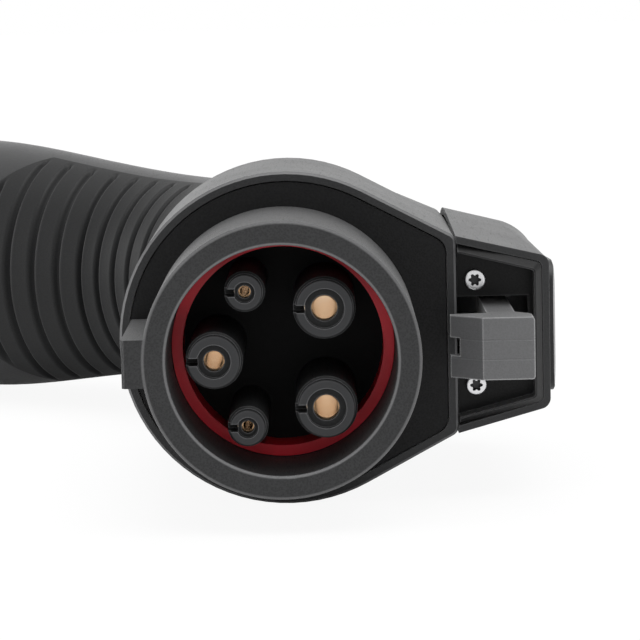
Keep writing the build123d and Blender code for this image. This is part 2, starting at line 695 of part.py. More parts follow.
def latch_pivot_pin():
    """The steel pin through the lever, seated in the hood's two bosses."""
    half = PIN_HALF - 4 * FIT
    pin = rod_z(PIVOT_R, -half, half, PIVOT_X, PIVOT_Y)
    return chamfer(pin.edges().filter_by(GeomType.CIRCLE), SIDE_PLAY)


def tray_outline(inset, y, lean=0.0, floor=-PLATE_GAP):
    """The tray's section at distance y, drawn on a plane that leans back from the head."""
    share = (y - HEAD_Y) / HOOD_FULL
    plane = Plane(origin=(HEAD_FLAT_X, y, 0), x_dir=(cos(lean), sin(lean), 0), z_dir=(sin(lean), -cos(lean), 0))
    corner = HOOD_CORNER - inset / 4
    profile = hood_profile(HOOD_FLARE * share, HOOD_SPREAD * share, corner, inset, floor)
    return plane * Pos(-HEAD_FLAT_X, 0) * profile


def latch_tray():
    """The liner inside the hood's mouth, with a bevelled rim, a slot for the lever and a floor."""
    outer = HOOD_WALL + TRAY_GAP
    lean = atan2(TRAY_RAKE, HOOD_HEIGHT)
    rim = tray_outline(outer + TRAY_BEVEL, TRAY_FRONT_Y, lean)
    edge = tray_outline(outer, TRAY_FRONT_Y + TRAY_BEVEL_LENGTH, lean)
    tray = loft([rim, edge, tray_outline(outer, TRAY_BACK_Y)], ruled=True)
    inside = outer + TRAY_WALL
    mouth = [tray_outline(inside, y, floor=TRAY_WALL) for y in (TRAY_FRONT_Y - 1, TRAY_FLOOR_Y)]
    tray -= loft(mouth, ruled=True)
    slot_x = HEAD_FLAT_X + TRAY_SLOT_RISE
    tray -= block(0, slot_x, TRAY_FLOOR_Y, TRAY_BACK_Y + 1, -TRAY_SLOT_HALF, TRAY_SLOT_HALF)
    for side in (-1, 1):
        hole_r = SMALL_SCREW_R + FIT
        tray -= rod_y(hole_r, TRAY_FLOOR_Y, TRAY_BACK_Y + 1, TRAY_SCREW_X, side * TRAY_SCREW_Z)
    return tray


def tray_screws():
    """The two silver screws in the tray's floor."""
    screws = []
    for side in (-1, 1):
        seat = Plane(origin=(TRAY_SCREW_X, TRAY_FLOOR_Y, side * TRAY_SCREW_Z), z_dir=(0, -1, 0))
        screw = pan_screw(TRAY_FLOOR + TRAY_BOSS - 2, SMALL_HEAD_R, SMALL_SCREW_R - FIT)
        screws.append(seat * screw)
    return Compound(children=screws)


def hood_screws():
    """Two screws from inside the head that hold the hood's rear."""
    screws = []
    for side in (-1, 1):
        seat = Plane(origin=(HEAD_FLAT_X - SHELL_WALL, HOOD_SCREW_Y, side * HOOD_SCREW_Z), z_dir=(-1, 0, 0))
        screws.append(seat * pan_screw(3 * SHELL_WALL - 4 * FIT, head_r=2 * SCREW_R))
    return Compound(children=screws)


# ---------------------------------------------------------------- lever, spring and button
def latch_lever():
    """The rocking lever: a ramped hook in front, a pivot eye and a platform for the button."""
    outline = Polyline(
        (HOOK_TOP_X, HOOK_FRONT_Y), (HOOK_FACE_X, HOOK_FRONT_Y),
        (HOOK_LOW_X, HOOK_FRONT_Y + 4.2), (HOOK_LOW_X, HOOK_FRONT_Y + 5.6),
        (ARM_BOTTOM_X, HOOK_FRONT_Y + 6.4), (ARM_BOTTOM_X, PIVOT_Y - 4),
        (PIVOT_X - 2, PIVOT_Y + 2), (PIVOT_X + 4.4, PIVOT_Y + 3),
        (PLATFORM_UNDER_X, PIVOT_Y + 7), (PLATFORM_UNDER_X, PIVOT_Y + PLATFORM_END),
        (PLATFORM_X, PIVOT_Y + PLATFORM_END), (PLATFORM_X, PIVOT_Y - 5),
        (ARM_TOP_X, PIVOT_Y - 8), (ARM_TOP_X, HOOK_FRONT_Y + 7), (HOOK_TOP_X, HOOK_FRONT_Y + 4),
        close=True)
    form = make_face(outline)
    arm = extrude(form, ARM_HALF, both=True)
    hook_room = block(0, FAR, 0, HOOK_FRONT_Y + 7, -HEAD_R, HEAD_R)
    hook = extrude(form, HOOK_HALF, both=True) & hook_room
    hook = fillet(hook.edges().filter_by(Axis.Y).sort_by(Axis.X)[-2:], RIM_ROUND)
    lever = arm + hook + rod_z(PIVOT_BOSS_R, -ARM_HALF, ARM_HALF, PIVOT_X, PIVOT_Y)
    lever += rod_x(SPRING_PEG_R, PLATFORM_UNDER_X - 2, PLATFORM_UNDER_X, SPRING_Y, 0)
    lever -= rod_z(PIVOT_R + PIVOT_CLEARANCE, -FAR, FAR, PIVOT_X, PIVOT_Y)
    notch_x = HOOK_LOW_X + HOOK_NOTCH_HALF
    lever -= block(0, notch_x, 0, HEAD_Y, -HOOK_NOTCH_HALF, HOOK_NOTCH_HALF)
    return lever


def latch_spring():
    """The compression spring between the head's flat side and the lever's platform."""
    foot_x = HEAD_FLAT_X + SPRING_WIRE
    height = PLATFORM_UNDER_X - SPRING_WIRE - foot_x
    path = Helix(height / SPRING_TURNS, height, SPRING_R)
    wire = Plane(origin=path @ 0, z_dir=path % 0) * Circle(SPRING_WIRE)
    coil = sweep(wire, path, is_frenet=True)
    return Plane(origin=(foot_x, SPRING_Y, 0), z_dir=(1, 0, 0)) * coil


def button_side(sink, trim):
    """The button's side view in X and Y: a low arch on a straight skirt."""
    low_x = BUTTON_TOP_X - BUTTON_SKIRT
    y0 = BUTTON_START + trim
    y1 = BUTTON_END - trim
    top_x = BUTTON_TOP_X - sink
    arch = ThreePointArc((top_x - BUTTON_DROP, y0), (top_x, (y0 + y1) / 2), (top_x - BUTTON_DROP, y1))
    return make_face([arch, Line(arch @ 1, (low_x, y1)), Line((low_x, y1), (low_x, y0)),
                      Line((low_x, y0), arch @ 0)])


def button_form(sink, trim):
    """The button's solid form, crowned across its width and round at its corners."""
    slab = extrude(button_side(sink, trim), BUTTON_HALF, both=True)
    column = button_column(trim)
    crown = rod_y(BUTTON_CROWN_R - sink, 0, FAR, BUTTON_TOP_X - BUTTON_CROWN_R)
    return slab & column & crown


def thumb_button():
    """The button that rides on the lever, with grip ridges and a finger for the switch."""
    form = button_form(0.0, 0.0)
    button = form - button_form(BUTTON_WALL, BUTTON_WALL)
    seat = block(PLATFORM_X, FAR, PIVOT_Y - 4, PIVOT_Y + PLATFORM_END - 2, -ARM_HALF, ARM_HALF)
    finger_x = PLUNGER_X + PLUNGER_PLAY
    finger_z = SWITCH_Z - FINGER_SHIFT
    finger = block(finger_x, FAR, SWITCH_Y - FINGER_HALF, SWITCH_Y + FINGER_HALF,
                   finger_z - FINGER_HALF, finger_z + FINGER_HALF)
    skirt_room = block(0, BUTTON_TOP_X - BUTTON_WALL, 0, FAR, -HEAD_R, HEAD_R)
    button += seat & form
    button += finger & (form + skirt_room)
    for i in range(RIDGE_COUNT):
        y = BUTTON_END - 2 * BUTTON_CORNER - i * RIDGE_PITCH
        reach = BUTTON_HALF - RIDGE_MARGIN
        button += rod_z(RIDGE_R, -reach, reach, BUTTON_TOP_X - 2 * RIDGE_R, y)
    return button


# ---------------------------------------------------------------- release switch
def switch_board():
    """The small circuit board under the hood, beside the lever."""
    y0 = SWITCH_Y - 3
    z0 = SWITCH_Z - SWITCH_HALF - 0.7
    board = block(HEAD_FLAT_X, SWITCH_X, y0, y0 + BOARD_LENGTH, z0, z0 + 8.4)
    board -= rod_x(2 * SCREW_R + 0.4, HEAD_FLAT_X - 1, SWITCH_X + 1, HOOD_SCREW_Y, HOOD_SCREW_Z)
    return board


def switch_body():
    """The microswitch on the board, with a well for its plunger."""
    y0 = SWITCH_Y - 2.6
    body = block(SWITCH_X, SWITCH_TOP_X, y0, y0 + SWITCH_LENGTH, SWITCH_Z - SWITCH_HALF, SWITCH_Z + SWITCH_HALF)
    half_y = PLUNGER_HALF_Y + PLUNGER_PLAY
    half_z = PLUNGER_HALF_Z + PLUNGER_PLAY
    well = block(SWITCH_X + 2, FAR, SWITCH_Y - half_y, SWITCH_Y + half_y, SWITCH_Z - half_z, SWITCH_Z + half_z)
    return body - well


def switch_plunger():
    """The switch's plunger, pushed in by the button's finger."""
    low_x = SWITCH_TOP_X - 2
    z0 = SWITCH_Z - PLUNGER_HALF_Z
    z1 = SWITCH_Z + PLUNGER_HALF_Z
    return block(low_x, PLUNGER_X, SWITCH_Y - PLUNGER_HALF_Y, SWITCH_Y + PLUNGER_HALF_Y, z0, z1)


def board_resistors():
    """Two resistors of the proximity circuit, soldered behind the switch."""
    resistors = []
    for i in range(2):
        y = SWITCH_Y + SWITCH_LENGTH + 0.6 + 3.2 * i
        z0 = SWITCH_Z + 0.4 - RESISTOR_LENGTH / 2
        resistors.append(rod_z(RESISTOR_R, z0, z0 + RESISTOR_LENGTH, SWITCH_X + RESISTOR_R, y))
    return Compound(children=resistors)


# ---------------------------------------------------------------- write the nodes
def write(name, shape):
    export_step(shape, "parts/" + name + ".step")
    print(name, "written")


os.makedirs("parts", exist_ok=True)
mask = pad_mask()
whole = shell_whole(mask)
write("nose_shell", nose_shell())
write("seal_ring", seal_ring())
write("contact_carrier", contact_carrier())
for key_name, spec in CONTACTS.items():
    write("tower_" + key_name, tower(spec))
    write("contact_" + key_name, contact(spec))
write("contact_retainer", contact_retainer())
write("retainer_screws", retainer_screws())
write("shell_right", shell_right(whole))
write("shell_left", shell_left(whole))
write("shell_screws", shell_screws())
write("grip_pad", grip_pad(mask))
write("gland_body", gland_body())
write("gland_seal", gland_seal())
write("gland_nut", gland_nut())
write("latch_hood", latch_hood())
write("hood_screws", hood_screws())
write("latch_tray", latch_tray())
write("tray_screws", tray_screws())
write("latch_lever", latch_lever())
write("latch_pivot_pin", latch_pivot_pin())
write("latch_spring", latch_spring())
write("thumb_button", thumb_button())
write("switch_board", switch_board())
write("switch_body", switch_body())
write("switch_plunger", switch_plunger())
write("board_resistors", board_resistors())
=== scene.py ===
# %% [markdown]
# # A vehicle charging connector
#
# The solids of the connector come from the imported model, already in place and in metres.
# Here they get their finishes, and a few pieces get a finer surface than a solid can
# carry.  The origin is the centre of the nose's rim, +Y runs back into the connector,
# +X is the latch side, and the connector lies on its -Z side.

import math

import bmesh
import bpy
import numpy as np
from mathutils import Euler, Matrix, Vector


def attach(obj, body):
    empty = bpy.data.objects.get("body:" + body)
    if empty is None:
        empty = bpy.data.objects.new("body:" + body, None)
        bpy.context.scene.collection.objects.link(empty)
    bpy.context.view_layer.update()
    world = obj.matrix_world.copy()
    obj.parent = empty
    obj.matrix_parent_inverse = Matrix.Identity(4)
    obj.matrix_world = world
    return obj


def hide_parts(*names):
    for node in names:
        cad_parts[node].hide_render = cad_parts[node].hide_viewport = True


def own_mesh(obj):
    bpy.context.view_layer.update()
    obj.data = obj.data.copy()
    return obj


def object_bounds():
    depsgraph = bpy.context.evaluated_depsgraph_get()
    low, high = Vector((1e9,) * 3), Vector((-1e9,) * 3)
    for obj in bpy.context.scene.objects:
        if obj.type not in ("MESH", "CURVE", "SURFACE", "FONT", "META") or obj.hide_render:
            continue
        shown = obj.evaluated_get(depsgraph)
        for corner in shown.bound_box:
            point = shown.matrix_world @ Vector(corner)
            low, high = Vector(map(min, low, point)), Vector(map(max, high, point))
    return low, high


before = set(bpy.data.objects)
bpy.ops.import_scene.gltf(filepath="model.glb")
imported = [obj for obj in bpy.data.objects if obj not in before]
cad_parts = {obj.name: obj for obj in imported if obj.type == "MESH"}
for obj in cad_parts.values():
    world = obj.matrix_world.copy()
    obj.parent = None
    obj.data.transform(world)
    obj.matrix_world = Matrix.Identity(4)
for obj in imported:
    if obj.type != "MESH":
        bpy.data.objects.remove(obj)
cad_box = [list(map(float, corner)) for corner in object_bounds()]
MM = 0.001
print("CAD box, mm:", [[round(v / MM, 1) for v in corner] for corner in cad_box])

# %% [markdown]
# ## The floor and the backdrop
#
# A product like this is shot on a white sweep.  A large plane under the connector holds
# its soft shadow.  It could be a curved sweep, but with a white world behind it the
# horizon vanishes, so a flat plane does the same with four corners.


# %% The floor
def new_mesh(name, points, faces):
    """A mesh object from an array of points and a list or array of faces."""
    mesh = bpy.data.meshes.new(name)
    mesh.from_pydata(np.asarray(points).tolist(), [], faces)
    mesh.validate()
    piece = bpy.data.objects.new(name, mesh)
    bpy.context.collection.objects.link(piece)
    return piece


floor_z = cad_box[0][2]
FLOOR_HALF = 4.0
floor_corners = [(-1, -1), (1, -1), (1, 1), (-1, 1)]
floor_points = [(x * FLOOR_HALF, y * FLOOR_HALF, floor_z) for x, y in floor_corners]
floor = new_mesh("floor", floor_points, [(0, 1, 2, 3)])
print("floor at", round(floor_z / MM, 2), "mm")

# %% [markdown]
# ## Node helpers
#
# Every finish below is a node tree.  A tiny helper adds a node and sets its values, so
# that each recipe reads as a list of steps.


# %% Node helpers
def add_node(tree, kind, **values):
    """A new node; each value goes to its property of that name or, failing that, to an input."""
    node = tree.nodes.new(kind)
    for name, value in values.items():
        if hasattr(node, name):
            setattr(node, name, value)
        else:
            node.inputs[name.replace("_", " ")].default_value = value
    return node


def math_node(tree, operation, a, b=None, clamp=False):
    """One Math node: a and b are sockets or numbers.  Returns its output."""
    node = tree.nodes.new("ShaderNodeMath")
    node.operation = operation
    node.use_clamp = clamp
    for socket, value in zip(node.inputs, (a, b)):
        if value is None:
            continue
        if isinstance(value, (int, float)):
            socket.default_value = value
        else:
            tree.links.new(value, socket)
    return node.outputs[0]


def mix_colour(tree, factor, below, above):
    """Colour below where the factor is 0, above where it is 1; above may be three numbers."""
    node = add_node(tree, "ShaderNodeMix", data_type="RGBA")
    tree.links.new(factor, node.inputs[0])
    tree.links.new(below, node.inputs[6])
    if isinstance(above, tuple):
        node.inputs[7].default_value = (*above, 1)
    else:
        tree.links.new(above, node.inputs[7])
    return node.outputs[2]


def new_group(name, inputs, outputs):
    """A shader node group with named sockets; returns the tree and its two end nodes."""
    tree = bpy.data.node_groups.new(name, "ShaderNodeTree")
    for label, kind, value in inputs:
        socket = tree.interface.new_socket(label, in_out="INPUT", socket_type=kind)
        socket.default_value = value
    for label, kind in outputs:
        tree.interface.new_socket(label, in_out="OUTPUT", socket_type=kind)
    return tree, tree.nodes.new("NodeGroupInput"), tree.nodes.new("NodeGroupOutput")


FLOAT, COLOR = "NodeSocketFloat", "NodeSocketColor"
print("node helpers ready")

# %% [markdown]
# ## Effects that several finishes share
#
# Moulded plastic is never one flat colour: the tool's spark-eroded or etched skin leaves
# a fine grain, and the colour drifts a little where the melt cooled.  Handling adds fine
# scuffs, and edges get a paler colour painted on as a highlight.  Four groups give those.
# A group can be placed in many materials with its own numbers, and is changed in one place.


# %% The four groups
STREAK_TURN, STREAK_SCALE, STREAK_SHARPNESS = (0.3, 0.2, 0.6), (1.0, 0.07, 1.0), 40.0
EDGE_GAIN = 6.0


def make_grain_group():
    """Height = cells * (1 - share) + noise * share, both in Object space, scaled per millimetre."""
    tree, source, sink = new_group(
        "etched_grain",
        [("Cell Size", FLOAT, 0.5), ("Noise Share", FLOAT, 0.4)],
        [("Height", FLOAT)],
    )
    coords = add_node(tree, "ShaderNodeTexCoord")
    scale = math_node(tree, "DIVIDE", 1000.0, source.outputs["Cell Size"])
    cells = add_node(tree, "ShaderNodeTexVoronoi", feature="SMOOTH_F1")
    cells.inputs["Smoothness"].default_value = 0.35
    noise = add_node(tree, "ShaderNodeTexNoise", Detail=3.0)
    fine = math_node(tree, "MULTIPLY", scale, 1.7)
    tree.links.new(coords.outputs["Object"], cells.inputs["Vector"])
    tree.links.new(coords.outputs["Object"], noise.inputs["Vector"])
    tree.links.new(scale, cells.inputs["Scale"])
    tree.links.new(fine, noise.inputs["Scale"])
    share = source.outputs["Noise Share"]
    part = math_node(tree, "MULTIPLY", noise.outputs["Fac"], share)
    rest = math_node(tree, "SUBTRACT", 1.0, share)
    body = math_node(tree, "MULTIPLY", cells.outputs["Distance"], rest)
    tree.links.new(math_node(tree, "ADD", part, body), sink.inputs["Height"])
    return tree


def make_tone_group():
    """Color = colour * (1 + amount * (slow noise - 0.5)), so a surface drifts in tone."""
    tree, source, sink = new_group(
        "tone_drift",
        [("Color", COLOR, (0.05, 0.05, 0.05, 1)), ("Amount", FLOAT, 0.3), ("Size", FLOAT, 12.0)],
        [("Color", COLOR), ("Drift", FLOAT)],
    )
    coords = add_node(tree, "ShaderNodeTexCoord")
    noise = add_node(tree, "ShaderNodeTexNoise", Detail=4.0, Roughness=0.6)
    tree.links.new(coords.outputs["Object"], noise.inputs["Vector"])
    scale = math_node(tree, "DIVIDE", 1000.0, source.outputs["Size"])
    tree.links.new(scale, noise.inputs["Scale"])
    centred = math_node(tree, "SUBTRACT", noise.outputs["Fac"], 0.5)
    swing = math_node(tree, "MULTIPLY", centred, source.outputs["Amount"])
    factor = math_node(tree, "ADD", swing, 1.0)
    tinted = add_node(tree, "ShaderNodeVectorMath", operation="SCALE")
    tree.links.new(source.outputs["Color"], tinted.inputs[0])
    tree.links.new(factor, tinted.inputs["Scale"])
    tree.links.new(tinted.outputs[0], sink.inputs["Color"])
    tree.links.new(noise.outputs["Fac"], sink.inputs["Drift"])
    return tree


def make_scuff_group():
    """Mask = thin streaks: noise stretched 14 times along one line, kept near its middle value."""
    tree, source, sink = new_group("fine_scuffs", [("Width", FLOAT, 0.5)], [("Mask", FLOAT)])
    coords = add_node(tree, "ShaderNodeTexCoord")
    squeeze = add_node(tree, "ShaderNodeMapping")
    squeeze.inputs["Rotation"].default_value = STREAK_TURN
    squeeze.inputs["Scale"].default_value = STREAK_SCALE
    noise = add_node(tree, "ShaderNodeTexNoise", Detail=1.0)
    tree.links.new(coords.outputs["Object"], squeeze.inputs["Vector"])
    tree.links.new(squeeze.outputs["Vector"], noise.inputs["Vector"])
    scale = math_node(tree, "DIVIDE", 1000.0, source.outputs["Width"])
    tree.links.new(scale, noise.inputs["Scale"])
    away = math_node(tree, "ABSOLUTE", math_node(tree, "SUBTRACT", noise.outputs["Fac"], 0.5))
    falling = math_node(tree, "MULTIPLY", away, STREAK_SHARPNESS)
    streak = math_node(tree, "SUBTRACT", 1.0, falling, clamp=True)
    tree.links.new(streak, sink.inputs["Mask"])
    return tree


def make_edge_group():
    """Mask = how far rounding an edge within a radius would turn the normal, from 0 to 1."""
    tree, source, sink = new_group("painted_edge_highlight", [("Radius", FLOAT, 0.3)], [("Mask", FLOAT)])
    rounded = add_node(tree, "ShaderNodeBevel", samples=4)
    plain = add_node(tree, "ShaderNodeNewGeometry")
    radius = math_node(tree, "MULTIPLY", source.outputs["Radius"], MM)
    tree.links.new(radius, rounded.inputs["Radius"])
    dot = add_node(tree, "ShaderNodeVectorMath", operation="DOT_PRODUCT")
    tree.links.new(rounded.outputs[0], dot.inputs[0])
    tree.links.new(plain.outputs["Normal"], dot.inputs[1])
    turned = math_node(tree, "SUBTRACT", 1.0, dot.outputs["Value"])
    mask = math_node(tree, "MULTIPLY", turned, EDGE_GAIN, clamp=True)
    tree.links.new(mask, sink.inputs["Mask"])
    return tree


grain_group = make_grain_group()
tone_group = make_tone_group()
scuff_group = make_scuff_group()
edge_group = make_edge_group()
print("groups:", [g.name for g in bpy.data.node_groups])

# %% [markdown]
# ## Plastics and rubber
#
# All the dark parts are moulded plastic or rubber.  What tells them apart is the size of
# the grain and how sharply they reflect, so one recipe covers them: colour with tone
# drift, roughness with drift, and grain as bump.


# %% The moulded finish
def place_group(tree, group, **values):
    """The group as a node in a tree, with its inputs set."""
    return add_node(tree, "ShaderNodeGroup", node_tree=group, **values)


def new_finish(name):
    """A new material, with its tree and its shader."""
    material = bpy.data.materials.new(name)
    material.use_nodes = True
    return material, material.node_tree, material.node_tree.nodes["Principled BSDF"]


def drifting(tree, tone, middle, swing):
    """A value round a middle, which swings as the tone drifts."""
    moved = math_node(tree, "MULTIPLY", tone.outputs["Drift"], swing)
    return math_node(tree, "ADD", moved, middle - swing / 2)


def wire_finish(tree, shader, colour, rough, grain, depth_mm):
    """Joins a colour, a roughness and a grain as bump to the shader."""
    bump = add_node(tree, "ShaderNodeBump")
    bump.inputs["Distance"].default_value = depth_mm * MM
    tree.links.new(colour, shader.inputs["Base Color"])
    tree.links.new(rough, shader.inputs["Roughness"])
    tree.links.new(grain.outputs["Height"], bump.inputs["Height"])
    tree.links.new(bump.outputs["Normal"], shader.inputs["Normal"])


SHEEN_ROUGHNESS = 0.45
FLECK_ABOVE, FLECK_GAIN = 0.3, 3.0
FLECK_PALER, FLECK_LIFT = 2.2, 0.01
PLASTIC_SWING, SCUFF_ROUGHNESS = 0.16, 0.12


def moulded(
    name, colour, roughness, grain_mm, depth_mm, drift=0.35, specular=0.5, fleck=0.3, sheen=0.0
):
    """A moulded finish: drifting tone, grain as bump and as flecks, and scuffs in the gloss."""
    material, tree, shader = new_finish(name)
    shader.inputs["Specular IOR Level"].default_value = specular
    shader.inputs["Sheen Weight"].default_value = sheen
    shader.inputs["Sheen Roughness"].default_value = SHEEN_ROUGHNESS
    tone = place_group(tree, tone_group, Color=(*colour, 1), Amount=drift)
    grain = place_group(tree, grain_group, Cell_Size=grain_mm)
    scuff = place_group(tree, scuff_group)
    above = math_node(tree, "SUBTRACT", grain.outputs["Height"], FLECK_ABOVE)
    high = math_node(tree, "MULTIPLY", above, FLECK_GAIN, clamp=True)
    flecks = math_node(tree, "MULTIPLY", high, fleck)
    paler = tuple(FLECK_PALER * value + FLECK_LIFT for value in colour)
    mixed = mix_colour(tree, flecks, tone.outputs["Color"], paler)
    rougher = math_node(tree, "MULTIPLY", scuff.outputs["Mask"], SCUFF_ROUGHNESS)
    rough = math_node(tree, "ADD", drifting(tree, tone, roughness, PLASTIC_SWING), rougher)
    wire_finish(tree, shader, mixed, rough, grain, depth_mm)
    return material


HOUSING = {
    "colour": (0.008, 0.0083, 0.009),
    "roughness": 0.4,
    "grain_mm": 0.35,
    "depth_mm": 0.03,
    "specular": 0.35,
    "sheen": 0.15,
}
shell_finish = moulded("shell_plastic", **HOUSING)
hood_finish = moulded("hood_plastic", **HOUSING)
button_finish = moulded("button_plastic", **HOUSING)
nose_finish = moulded(
    "nose_plastic", (0.009, 0.0092, 0.0098), 0.5, 0.32, 0.09, specular=0.32, fleck=0.55, sheen=0.18
)
# Painted shade: the face plate and the barrel's bore get this darker colour for the shade they lie
# in; the smoother finish is their own.
smooth_shaded_finish = moulded(
    "smooth_shaded_plastic", (0.005, 0.005, 0.0053), 0.5, 0.35, 0.03, specular=0.15, sheen=0.05
)
carrier_finish = moulded(
    "carrier_plastic", (0.003, 0.003, 0.0032), 0.55, 0.3, 0.01, specular=0.1, fleck=0.0
)
tower_finish = moulded("tower_plastic", (0.008, 0.0082, 0.0086), 0.6, 0.3, 0.01, specular=0.2)
tray_finish = moulded(
    "tray_plastic", (0.003, 0.003, 0.0032), 0.35, 0.3, 0.015, specular=0.15, sheen=0.1
)
lever_finish = moulded(
    "lever_plastic", (0.085, 0.0855, 0.088), 0.42, 0.3, 0.03, fleck=0.12, sheen=0.2
)
pad_finish = moulded(
    "grip_rubber", (0.005, 0.0052, 0.0055), 0.5, 0.25, 0.02, specular=0.2, sheen=0.07
)
seal_finish = moulded(
    "seal_rubber", (0.80, 0.010, 0.030), 0.35, 0.3, 0.01, specular=0.35, fleck=0.0
)
gland_finish = moulded(
    "gland_plastic", (0.012, 0.012, 0.0126), 0.45, 0.3, 0.015, specular=0.35, sheen=0.12
)
gland_rubber_finish = moulded("gland_rubber", (0.010, 0.010, 0.010), 0.6, 0.3, 0.015, specular=0.3)
board_finish = moulded("board_laminate", (0.02, 0.12, 0.05), 0.3, 0.8, 0.01, fleck=0.0)
switch_finish = moulded("switch_plastic", (0.02, 0.02, 0.022), 0.35, 0.3, 0.01)
plunger_finish = moulded("plunger_plastic", (0.6, 0.58, 0.5), 0.35, 0.3, 0.01, fleck=0.0)
resistor_finish = moulded("resistor_coat", (0.25, 0.4, 0.5), 0.3, 0.3, 0.01, fleck=0.0)
print("plastics:", len(bpy.data.materials))

# %% [markdown]
# ## Marks that belong to a place
#
# Some marks sit at a place on the part, not all over it: the split between the housing's
# halves and two fine lines down the hook's face.  The rest are painted highlights: the
# head's front chamfer, the rim's two edges and the towers' ends are painted paler, as if
# lit, and the edge group paints pale lines along edges.  Each is a mask from the Object
# coordinates, the normal or the edge group, mixed into the finish made above.


# %% Marks by place
def near(tree, value, centre_mm, half_mm, soft_mm):
    """1 where a value is within half_mm of a centre, falling to 0 over soft_mm."""
    shifted = math_node(tree, "SUBTRACT", value, centre_mm * MM)
    away = math_node(tree, "SUBTRACT", math_node(tree, "ABSOLUTE", shifted), half_mm * MM)
    falling = math_node(tree, "DIVIDE", away, soft_mm * MM)
    return math_node(tree, "SUBTRACT", 1.0, falling, clamp=True)


def band(tree, axis, centre_mm, half_mm, soft_mm):
    """The mask near a place on an axis."""
    coords = add_node(tree, "ShaderNodeTexCoord")
    split = add_node(tree, "ShaderNodeSeparateXYZ")
    tree.links.new(coords.outputs["Object"], split.inputs[0])
    return near(tree, split.outputs[axis], centre_mm, half_mm, soft_mm)


def ring_band(tree, radius_mm, half_mm, soft_mm):
    """The mask near a radius round the mating axis."""
    coords = add_node(tree, "ShaderNodeTexCoord")
    flat = add_node(tree, "ShaderNodeVectorMath", operation="MULTIPLY")
    flat.inputs[1].default_value = (1, 0, 1)
    length = add_node(tree, "ShaderNodeVectorMath", operation="LENGTH")
    tree.links.new(coords.outputs["Object"], flat.inputs[0])
    tree.links.new(flat.outputs[0], length.inputs[0])
    return near(tree, length.outputs["Value"], radius_mm, half_mm, soft_mm)


STEEP_GAIN, STEEP_FROM = 5.0, 3.6


def faces_vehicle(tree):
    """1 on faces that look along -Y, 0 on the rest."""
    plain = add_node(tree, "ShaderNodeNewGeometry")
    split = add_node(tree, "ShaderNodeSeparateXYZ")
    tree.links.new(plain.outputs["Normal"], split.inputs[0])
    steep = math_node(tree, "MULTIPLY", split.outputs["Y"], -STEEP_GAIN)
    return math_node(tree, "SUBTRACT", steep, STEEP_FROM, clamp=True)


def paint(material, mask, colour, share=1.0):
    """A share of the colour where the mask is 1, over what the finish had."""
    tree = material.node_tree
    if share < 1.0:
        mask = math_node(tree, "MULTIPLY", mask, share)
    socket = tree.nodes["Principled BSDF"].inputs["Base Color"]
    tree.links.new(mix_colour(tree, mask, socket.links[0].from_socket, colour), socket)


def painted_edge_highlight(material, radius_mm, colour, share):
    """Paints a share of a colour along the edges, as a painted highlight."""
    edge = place_group(material.node_tree, edge_group, Radius=radius_mm)
    paint(material, edge.outputs["Mask"], colour, share)


def groove(material, mask, share):
    """Takes a share of the bump's distance off the height where the mask is 1."""
    tree = material.node_tree
    bump = next(node for node in tree.nodes if node.type == "BUMP")
    socket = bump.inputs["Height"]
    cut = math_node(tree, "MULTIPLY", mask, share)
    tree.links.new(math_node(tree, "SUBTRACT", socket.links[0].from_socket, cut), socket)


LINE_SOFT = 0.12
SPLIT_HALF, SPLIT_DEPTH = 0.06, 5.0
HOOK_LINES_Z, HOOK_LINE_HALF, HOOK_LINE_DEPTH = (-1.75, 1.35), 0.05, 2.0
TOWER_END_HALF, TOWER_END_SOFT = 1.98, 0.02
HEAD_FRONT_Y, CHAMFER_HALF, CHAMFER_SOFT = 27.1, 0.26, 0.05
RIM_HALF, RIM_SOFT, RIM_LINE_HALF, RIM_LINE_SOFT = 0.45, 0.2, 0.1, 0.22
RIM_R, BORE_R = 21.66, 18.3

shell_tree = shell_finish.node_tree
split_line = band(shell_tree, "Z", 0.0, SPLIT_HALF, LINE_SOFT)
groove(shell_finish, split_line, SPLIT_DEPTH)
paint(shell_finish, split_line, (0.004, 0.004, 0.004))
# Painted highlight: the head's front chamfer is painted paler, as if lit.
at_front = band(shell_tree, "Y", HEAD_FRONT_Y, CHAMFER_HALF, CHAMFER_SOFT)
chamfer = math_node(shell_tree, "SUBTRACT", at_front, faces_vehicle(shell_tree), clamp=True)
paint(shell_finish, chamfer, (0.14, 0.14, 0.143), 0.7)

for line_z in HOOK_LINES_Z:
    line = band(lever_finish.node_tree, "Z", line_z, HOOK_LINE_HALF, LINE_SOFT)
    groove(lever_finish, line, HOOK_LINE_DEPTH)

tower_tree = tower_finish.node_tree
# Painted highlight: the towers' ends that face the vehicle are painted paler than their sides, as
# if lit.
near_end = band(tower_tree, "Y", 0.0, TOWER_END_HALF, TOWER_END_SOFT)
end_face = math_node(tower_tree, "MULTIPLY", near_end, faces_vehicle(tower_tree))
paint(tower_finish, end_face, (0.030, 0.0305, 0.032))

# Painted highlights: pale lines along the edges of the towers, hook, tray and hood, for the light
# their rounded edges catch.
painted_edge_highlight(tower_finish, 0.25, (0.16, 0.16, 0.165), 0.9)
painted_edge_highlight(lever_finish, 0.4, (0.42, 0.42, 0.425), 0.9)
painted_edge_highlight(tray_finish, 0.3, (0.14, 0.14, 0.143), 0.7)
painted_edge_highlight(hood_finish, 0.3, (0.10, 0.10, 0.103), 0.6)

nose_tree = nose_finish.node_tree
# Painted highlight: thin pale circles at the rim's outer edge and at the bore's edge, for the light
# they catch.
at_rim = band(nose_tree, "Y", 0.0, RIM_HALF, RIM_SOFT)
for rim_radius, rim_share in ((RIM_R, 0.55), (BORE_R, 0.8)):
    circle = ring_band(nose_tree, rim_radius, RIM_LINE_HALF, RIM_LINE_SOFT)
    line = math_node(nose_tree, "MULTIPLY", at_rim, circle)
    paint(nose_finish, line, (0.16, 0.16, 0.163), rim_share)
print("marks: split line, chamfer, hook lines, tower ends, painted edge highlights and rim")

